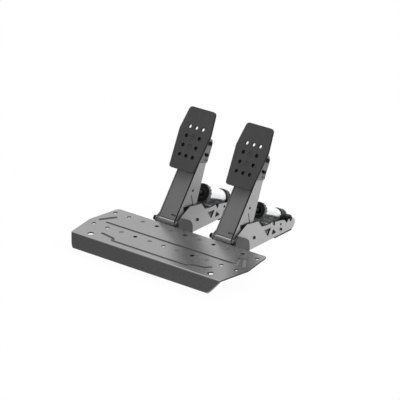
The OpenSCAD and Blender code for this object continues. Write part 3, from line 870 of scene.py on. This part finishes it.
@dataclass
class PedalModule:
    """One pedal: its side plates and floor, arm and pad, push rod and cylinder.

    Each group of parts moves with one body. A node's name here is without the pedal's own name.
    """

    side: Side
    frame_parts: dict[str, Part] = field(default_factory=lambda: {
        # Folded sheets: painted shade on their cut edges.
        "right_side_plate": folded(Look.MODULE, "module_paint"),
        "left_side_plate": folded(Look.MODULE, "module_paint"),
        "base_plate": folded(Look.MODULE, "module_paint"),
        "feet": Part(Look.RUBBER, "foot_rubber", 0.5 * MM),
        "cross_ties": Part(
            Look.MODULE, "black_screws", 0.3 * MM, rim=Look.SCREW, ends=4.8 * MM),
        "pivot_bushes": Part(Look.BRONZE, "bronze"),
        "rear_pin": Part(Look.SCREW, "black_screws"),
        "sensor_cover": Part(Look.COVER, "cover_plastic", 0.7 * MM, 3),
        "sensor_board": Part(Look.BOARD, "board"),
        "signal_socket": Part(Look.COVER, "cover_plastic", 0.2 * MM),
    })
    pedal_parts: dict[str, Part] = field(default_factory=lambda: {
        # Painted shade on the arm's and bracket's cut edges: the shadow line by the arm's right
        # flange.
        "arm": folded(Look.ARM, "arm_paint", unshaded_side=True),
        "stop_block": Part(Look.RUBBER, "stop_rubber", 0.8 * MM),
        "pivot_sleeve": Part(Look.SLEEVE, "module_paint"),
        "pivot_shaft": Part(Look.SCREW, "black_screws"),
        "magnet": Part(Look.STEEL, "plain_steel"),
        "pad_bracket": folded(Look.BRACKET, "arm_paint"),
        "bracket_screws": Part(Look.SCREW, "black_screws"),
        # Painted shade on the pad's edges and hole walls.
        "pad": Part(Look.PAD, "pad_paint", 0.35 * MM, sheet=PAD_SHEET, rim=Look.PAD_RIM),
        "pad_screws": Part(Look.PAD, "black_screws"),
        "rod_pin": Part(Look.SCREW, "black_screws"),
    })
    rod_parts: dict[str, Part] = field(default_factory=lambda: {
        "rod": Part(Look.ROD, "rod_steel"),
        "piston": Part(Look.STEEL, "plain_steel"),
    })
    cylinder_parts: dict[str, Part] = field(default_factory=lambda: {
        "cylinder_tube": Part(Look.TUBE, "tube_silver"),
        "front_gland": Part(Look.BLACK, "black_anodised"),
        "rear_cap": Part(Look.BLACK, "black_anodised"),
    })
    collar_parts: dict[str, Part] = field(default_factory=lambda: {
        # Lit and shaded copies of one metal: collar front black as painted shade, outside as
        # painted light.
        "preload_collar": Part(
            Look.BLACK, "black_anodised", 0.6 * MM, 3, rim=Look.GRIP, grip=True),
    })

    def soft_part(self) -> tuple[str, Part]:
        """Part that resists the pedal.

        Returns:
            Its node's name without the pedal's, and what dresses it.
        """
        if self.side is Side.BRAKE:
            pressed = Pressed("brake_press", BLOCKS_KEEP)
            return "elastomers", Part(Look.ELASTOMER, "elastomer", 0.4 * MM, pressed=pressed)
        pressed = Pressed("throttle_press", SPRING_KEEP)
        return "spring", Part(Look.STEEL, "plain_steel", 0.3 * MM, pressed=pressed)

    def build(self, shop: Workshop) -> None:
        """Dress every part of the module."""
        name = self.side.value
        groups = (
            ("frame", self.frame_parts),
            (f"{name}_pedal", self.pedal_parts),
            (f"{name}_push_rod", self.rod_parts),
            (f"{name}_cylinder", self.cylinder_parts),
            (f"{name}_collar", self.collar_parts),
            (f"{name}_cylinder", dict([self.soft_part()])),
        )
        for body, parts in groups:
            for node, part in parts.items():
                shop.dress(f"{name}_{node}", part, body)


@dataclass(frozen=True)
class Lamp:
    """One soft square lamp.

    Attributes:
        name: name of the lamp.
        place: where it hangs.
        size: length of its side.
        watts: its power.
        aim: point that it faces.
    """

    name: str
    place: tuple[float, float, float]
    size: float
    watts: float
    aim: tuple[float, float, float] = (0.0, 0.0, 0.1)

    def hang(self) -> None:
        """Hang the lamp, facing the set."""
        data = bpy.data.lights.new(self.name, "AREA")
        data.size = self.size
        data.energy = self.watts
        lamp = bpy.data.objects.new(self.name, data)
        lamp.location = self.place
        back = Vector(self.place) - Vector(self.aim)
        lamp.rotation_euler = back.to_track_quat("Z", "Y").to_euler()
        bpy.context.scene.collection.objects.link(lamp)


@dataclass
class Studio:
    """Floor, world, lamps and the photograph's camera.

    Attributes:
        eye: place of the camera.
        azimuth: degrees that the camera stands round from the front, towards the right.
        elevation: degrees that it looks down.
        focal_px: focal length in pixels of the photograph.
        photo_px: width of the photograph in pixels.
        sensor_mm: width of the camera's sensor.
        clip_end: how far the camera sees.
        floor_half: half the length of the floor's side.
        floor_tone: colour of the floor where it lights the set.
        floor_shown: share of plain white in the floor where it is seen.
        white: colour of the world and of the floor where it is seen.
        round_level: brightness of the world in front of the set.
        behind_level: brightness that the world gains behind the set.
        behind_from: rearward part of a direction at which the gain starts.
        behind_to: rearward part of a direction at which the gain is full.
        lamps: the lamps.
    """

    eye: tuple[float, float, float] = (2.8111, -3.49705, 1.9899)
    azimuth: float = 38.76
    elevation: float = 22.9
    focal_px: float = 2538.4
    photo_px: float = 400.0
    sensor_mm: float = 36.0
    clip_end: float = 100.0
    floor_half: float = 6.0
    floor_tone: Colour = (0.8, 0.8, 0.8)
    floor_shown: float = 0.97
    white: Colour = (1.0, 1.0, 1.0)
    round_level: float = 0.22
    behind_level: float = 0.98
    behind_from: float = -0.35
    behind_to: float = 0.45
    lamps: tuple[Lamp, ...] = (
        Lamp("right_lamp", (2.6, 0.3, 2.4), 2.4, 62.0),
        Lamp("top_lamp", (-0.5, 0.6, 3.0), 4.5, 38.0),
    )

    def camera(self) -> None:
        """Place the camera where the photograph was taken from."""
        data = bpy.data.cameras.new("photo_camera")
        data.sensor_width = self.sensor_mm
        data.lens = self.focal_px / self.photo_px * self.sensor_mm
        data.clip_end = self.clip_end
        turn, rise = math.radians(self.azimuth), math.radians(self.elevation)
        flat = math.cos(rise)
        back = Vector((math.sin(turn) * flat, -math.cos(turn) * flat, math.sin(rise)))
        camera = bpy.data.objects.new("photo_camera", data)
        camera.location = self.eye
        camera.rotation_euler = back.to_track_quat("Z", "Y").to_euler()
        bpy.context.scene.collection.objects.link(camera)
        bpy.context.scene.camera = camera

    def floor(self) -> None:
        """Lay a pale floor that is white to the camera and keeps the object's shadow."""
        half = self.floor_half
        mesh = bpy.data.meshes.new("floor")
        corners = [(-half, -half, 0), (half, -half, 0), (half, half, 0), (-half, half, 0)]
        mesh.from_pydata(corners, [], [(0, 1, 2, 3)])
        floor = bpy.data.objects.new("floor", mesh)
        bpy.context.scene.collection.objects.link(floor)
        mesh.materials.append(self._floor_material())

    def _floor_material(self) -> bpy.types.Material:
        """Build the floor's material.

        Returns:
            The material: nearly white where the floor is seen, and pale and matt elsewhere.
        """
        material = bpy.data.materials.new("pale_floor")
        material.use_nodes = True
        graph = Graph(material.node_tree)
        matt = graph.node("ShaderNodeBsdfDiffuse", None, {"Color": self.floor_tone})
        white = graph.node("ShaderNodeEmission", None, {"Color": self.white, "Strength": 1.0})
        shown = self._seen(graph) * self.floor_shown
        surface = graph.node("ShaderNodeMixShader", None, {0: shown, 1: matt, 2: white})
        graph.node("ShaderNodeOutputMaterial", None, {"Surface": surface})
        return material

    @staticmethod
    def _seen(graph: Graph) -> Signal:
        """Tell rays that show the floor from rays that only light the set.

        Args:
            graph: the floor's graph.

        Returns:
            1 for rays from the camera, from a mirror-like surface or through glass.
        """
        camera = graph.node("ShaderNodeLightPath", output="Is Camera Ray")
        glossy = graph.node("ShaderNodeLightPath", output="Is Glossy Ray")
        through = graph.node("ShaderNodeLightPath", output="Is Transmission Ray")
        return camera.larger(glossy).larger(through)

    def world(self) -> None:
        """Light the set softly from all round, brightest from behind it."""
        world = bpy.data.worlds.new("studio")
        bpy.context.scene.world = world
        world.use_nodes = True
        graph = Graph(world.node_tree)
        towards = graph.node("ShaderNodeTexCoord", output="Generated")
        rear = graph.along(towards, (0.0, 1.0, 0.0))
        behind = rear.between(self.behind_from, self.behind_to)
        camera = graph.node("ShaderNodeLightPath", output="Is Camera Ray")
        level = (behind * self.behind_level + self.round_level).larger(camera)
        inputs = {"Color": self.white, "Strength": level}
        light = graph.node("ShaderNodeBackground", None, inputs)
        graph.node("ShaderNodeOutputWorld", None, {"Surface": light})

    def build(self) -> None:
        """Set up the whole studio."""
        self.camera()
        self.floor()
        self.world()
        for lamp in self.lamps:
            lamp.hang()
        bpy.context.scene.view_settings.view_transform = "Standard"
        LOG.info("studio ready")


def main() -> None:
    """Build the studio and every sub-assembly around the frame."""
    logging.basicConfig(level=logging.INFO, format="%(name)s: %(message)s")
    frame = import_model()
    Studio().build()
    shop = Workshop(frame, Paint())
    HeelPlate().build(shop)
    for side in Side:
        PedalModule(side).build(shop)


if __name__ == "__main__":
    main()
